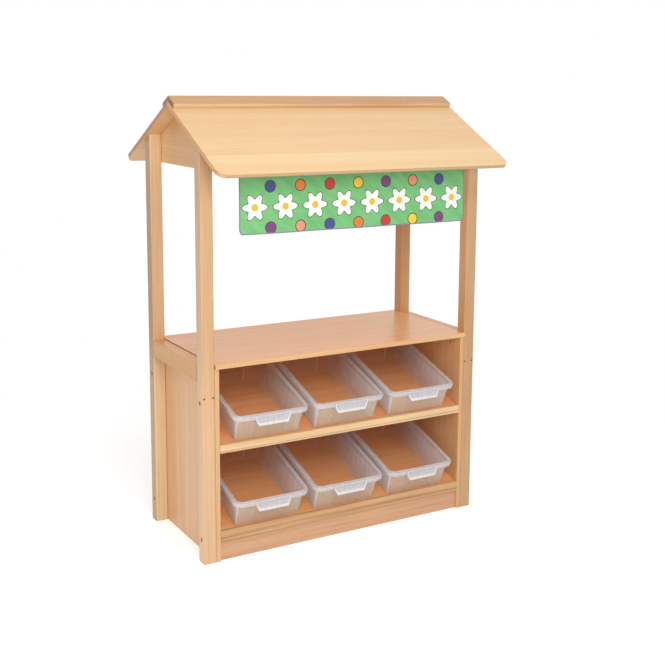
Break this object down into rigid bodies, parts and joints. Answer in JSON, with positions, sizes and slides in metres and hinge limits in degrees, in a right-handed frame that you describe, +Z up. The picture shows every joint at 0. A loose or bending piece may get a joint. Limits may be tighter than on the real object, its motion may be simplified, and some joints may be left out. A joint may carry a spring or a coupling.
{
  "type": "toy market stall",
  "caption": "Wooden play market stall: gabled roof on square posts, serving counter, and sloping shelves with clear pull-out trays under a hanging sign sheet.",
  "frame": {"origin": "on the floor under the middle of the roof", "axes": "+X to the right seen from the front, +Y to the rear, +Z up"},
  "size_m": [1.2, 0.8912, 1.6672],
  "materials": {
    "post_wood": "clear satin lacquer on solid beech",
    "rail_wood": "clear satin lacquer on solid beech",
    "panel_wood": "clear satin lacquer on beech-faced board",
    "counter_wood": "clear satin lacquer on staved beech",
    "shelf_wood": "clear satin lacquer on beech-faced board",
    "lip_wood": "clear satin lacquer on solid beech",
    "roof_wood": "clear satin lacquer on staved maple",
    "ridge_wood": "clear satin lacquer on solid beech",
    "batten_wood": "planed softwood",
    "dowel_wood": "fluted beech dowel",
    "sign_vinyl": "satin printed vinyl",
    "dark_steel": "blackened steel",
    "bright_steel": "zinc-plated steel",
    "tray_plastic": "clear frosted polypropylene"
  },
  "bodies": {
    "stall": {"front_left_post": "post_wood", "front_right_post": "post_wood", "rear_left_post": "post_wood", "rear_right_post": "post_wood", "left_end_rail": "rail_wood", "right_end_rail": "rail_wood", "left_side_panel": "panel_wood", "right_side_panel": "panel_wood", "back_panel": "panel_wood", "left_gable": "panel_wood", "right_gable": "panel_wood", "countertop": "counter_wood", "upper_shelf": "shelf_wood", "lower_shelf": "shelf_wood", "upper_shelf_lip": "lip_wood", "lower_shelf_lip": "lip_wood", "front_plinth": "lip_wood", "front_roof_panel": "roof_wood", "rear_roof_panel": "roof_wood", "front_ridge_cap": "ridge_wood", "rear_ridge_cap": "ridge_wood", "left_front_cleat": "batten_wood", "left_rear_cleat": "batten_wood", "right_front_cleat": "batten_wood", "right_rear_cleat": "batten_wood", "sign_batten": "batten_wood", "counter_dowels": "dowel_wood", "shelf_dowels": "dowel_wood", "lip_dowels": "dowel_wood", "sign_sheet": "sign_vinyl", "post_bolts": "dark_steel", "rail_screws": "dark_steel", "sign_pins": "bright_steel", "post_inserts": "bright_steel", "gable_screws": "bright_steel", "cleat_screws": "bright_steel", "back_screws": "bright_steel", "batten_screws": "bright_steel"},
    "tray_upper_left": {"upper_left_tray": "tray_plastic"},
    "tray_upper_middle": {"upper_middle_tray": "tray_plastic"},
    "tray_upper_right": {"upper_right_tray": "tray_plastic"},
    "tray_lower_left": {"lower_left_tray": "tray_plastic"},
    "tray_lower_middle": {"lower_middle_tray": "tray_plastic"},
    "tray_lower_right": {"lower_right_tray": "tray_plastic"}
  },
  "joints": [
    {"name": "upper_left_tray_slide", "type": "slide", "parent": "stall", "child": "tray_upper_left", "axis": [0, -0.9986, 0.0523], "range_m": [0, 0.4]},
    {"name": "upper_middle_tray_slide", "type": "slide", "parent": "stall", "child": "tray_upper_middle", "axis": [0, -0.9986, 0.0523], "range_m": [0, 0.4]},
    {"name": "upper_right_tray_slide", "type": "slide", "parent": "stall", "child": "tray_upper_right", "axis": [0, -0.9986, 0.0523], "range_m": [0, 0.4]},
    {"name": "lower_left_tray_slide", "type": "slide", "parent": "stall", "child": "tray_lower_left", "axis": [0, -0.9986, 0.0523], "range_m": [0, 0.4]},
    {"name": "lower_middle_tray_slide", "type": "slide", "parent": "stall", "child": "tray_lower_middle", "axis": [0, -0.9986, 0.0523], "range_m": [0, 0.4]},
    {"name": "lower_right_tray_slide", "type": "slide", "parent": "stall", "child": "tray_lower_right", "axis": [0, -0.9986, 0.0523], "range_m": [0, 0.4]}
  ]
}
